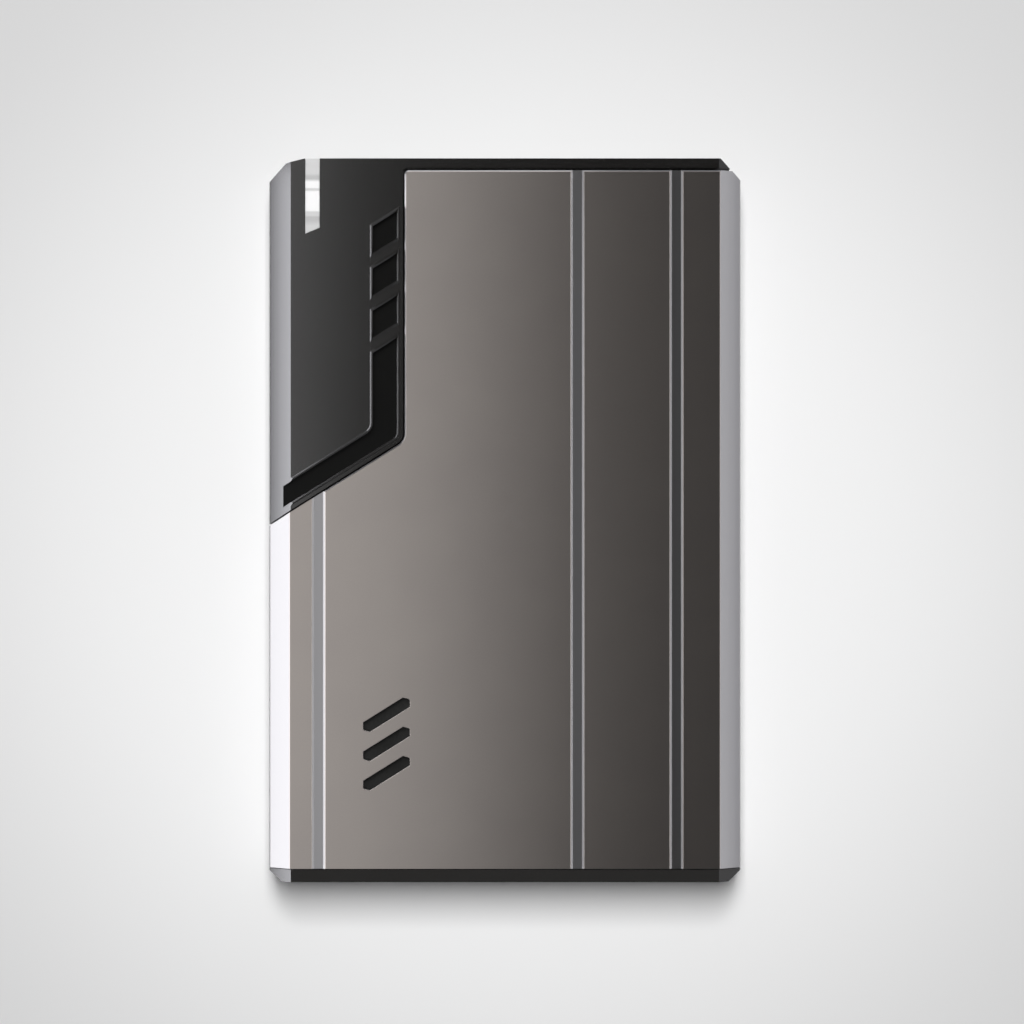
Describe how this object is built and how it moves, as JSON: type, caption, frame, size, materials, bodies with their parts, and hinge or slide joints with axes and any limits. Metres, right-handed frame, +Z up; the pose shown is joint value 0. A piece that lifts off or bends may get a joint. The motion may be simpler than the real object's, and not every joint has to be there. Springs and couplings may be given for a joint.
{
  "type": "portable hard disk drive",
  "caption": "Slim portable hard disk drive: bevelled aluminium sleeve with grooves, dark end caps, a windowed corner cover with a light bar, a USB port, and the disk mechanism inside.",
  "frame": {"origin": "under the middle of the case, on the plane it lies on", "axes": "+Z up out of the grooved face, +Y along the case towards the end with the port and the light bar, +X across the case so that the corner cover lies at -X"},
  "size_m": [0.079, 0.1208, 0.013],
  "materials": {
    "anodised_aluminium": "satin bead-blasted, gunmetal grey",
    "dark_plastic": "fine satin texture",
    "gloss_black_plastic": "gloss",
    "black_screen": "matt",
    "frosted_acrylic": "frosted",
    "tray_plastic": "matt",
    "black_rubber": "matt",
    "grey_foam": "open-cell, matt",
    "screw_steel": "plated",
    "green_board": "solder-mask, semi-gloss",
    "tinned_steel": "tin-plated",
    "connector_plastic": "matt",
    "chip_epoxy": "matt",
    "white_lamp": "diffuse",
    "cast_aluminium": "die-cast",
    "stainless_sheet": "brushed",
    "bearing_steel": "ground",
    "turned_aluminium": "turned",
    "coated_disc": "polished",
    "copper_winding": "lacquered wire",
    "slider_ceramic": "polished",
    "nickel_plate": "nickel-plated",
    "white_polymer": "satin",
    "filter_felt": "felt"
  },
  "bodies": {
    "case": {"sleeve": "anodised_aluminium", "head_cap": "dark_plastic", "tail_cap": "dark_plastic", "window_backer": "gloss_black_plastic", "vent_screen": "black_screen", "light_pipe": "frosted_acrylic", "drive_tray": "tray_plastic", "shock_pads": "black_rubber", "tail_foam": "grey_foam", "top_foam": "grey_foam", "drive_screws": "screw_steel", "bridge_board": "green_board", "board_screws": "screw_steel", "usb_shell": "tinned_steel", "usb_tongue": "connector_plastic", "sata_socket": "connector_plastic", "bridge_chip": "chip_epoxy", "crystal": "tinned_steel", "status_led": "white_lamp", "hdd_base": "cast_aluminium", "hdd_gasket": "black_rubber", "hdd_cover": "stainless_sheet", "hdd_cover_screws": "screw_steel", "hdd_board": "green_board", "hdd_connector": "connector_plastic", "spindle_motor": "bearing_steel", "pivot_post": "bearing_steel", "magnet_yoke": "nickel_plate", "lower_magnet": "nickel_plate", "parking_ramp": "white_polymer", "air_filter": "filter_felt"},
    "spindle": {"spindle_hub": "turned_aluminium", "platter": "coated_disc", "disc_clamp": "stainless_sheet", "clamp_screw": "screw_steel"},
    "actuator": {"actuator_arm": "turned_aluminium", "voice_coil": "copper_winding", "head_sliders": "slider_ceramic"}
  },
  "joints": [
    {"name": "spindle_spin", "type": "hinge", "parent": "case", "child": "spindle", "pos_m": [0, -0.02243, 0.007], "axis": [0, 0, 1], "continuous": true},
    {"name": "actuator_swing", "type": "hinge", "parent": "case", "child": "actuator", "pos_m": [0.01593, 0.0176, 0.007], "axis": [0, 0, 1], "range_deg": [0, 33]}
  ]
}
